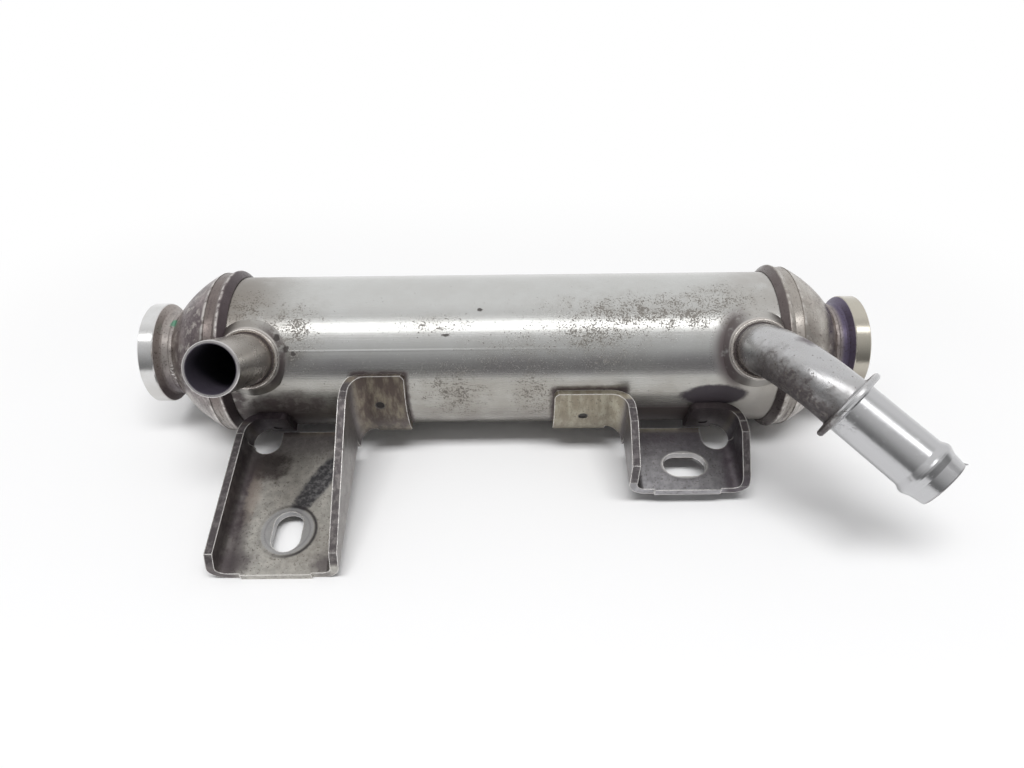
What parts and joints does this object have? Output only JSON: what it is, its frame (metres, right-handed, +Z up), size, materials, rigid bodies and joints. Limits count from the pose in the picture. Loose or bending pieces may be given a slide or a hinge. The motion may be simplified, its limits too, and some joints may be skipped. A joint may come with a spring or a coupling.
{
  "type": "exhaust gas recirculation cooler",
  "caption": "Stainless shell-and-tube exhaust gas cooler with end cones, clamp-band flanges, a straight and a bent coolant pipe, and folded slotted brackets.",
  "frame": {"origin": "centre of the inlet flange's outer face, on the shell axis", "axes": "+X along the shell from the inlet to the outlet, -Y the side the coolant pipes and brackets point to, +Z up as the part lies on its cone lips and the long bracket's front edge"},
  "size_m": [0.241, 0.1086, 0.0643],
  "materials": {
    "shell": "satin stainless, dusty and stained",
    "cones": "pressed stainless with brown and purple heat stain",
    "flanges": "turned stainless, bright rim, dark groove",
    "headers": "sooted stainless",
    "tubes": "plain stainless",
    "pipes": "smooth stainless with tarry dirt",
    "brackets": "folded sheet, dull with worn bright edges"
  },
  "bodies": {
    "root": {"shell": "shell", "inlet_cone": "cones", "outlet_cone": "cones", "inlet_flange": "flanges", "outlet_flange": "flanges", "inlet_header": "headers", "outlet_header": "headers", "coolant_stub": "pipes", "coolant_elbow": "pipes", "long_bracket": "brackets", "short_bracket": "brackets", "gas_tube_01": "tubes", "gas_tube_02": "tubes", "gas_tube_03": "tubes", "gas_tube_04": "tubes", "gas_tube_05": "tubes", "gas_tube_06": "tubes", "gas_tube_07": "tubes", "gas_tube_08": "tubes", "gas_tube_09": "tubes", "gas_tube_10": "tubes", "gas_tube_11": "tubes", "gas_tube_12": "tubes", "gas_tube_13": "tubes", "gas_tube_14": "tubes", "gas_tube_15": "tubes", "gas_tube_16": "tubes", "gas_tube_17": "tubes", "gas_tube_18": "tubes", "gas_tube_19": "tubes"}
  },
  "joints": []
}
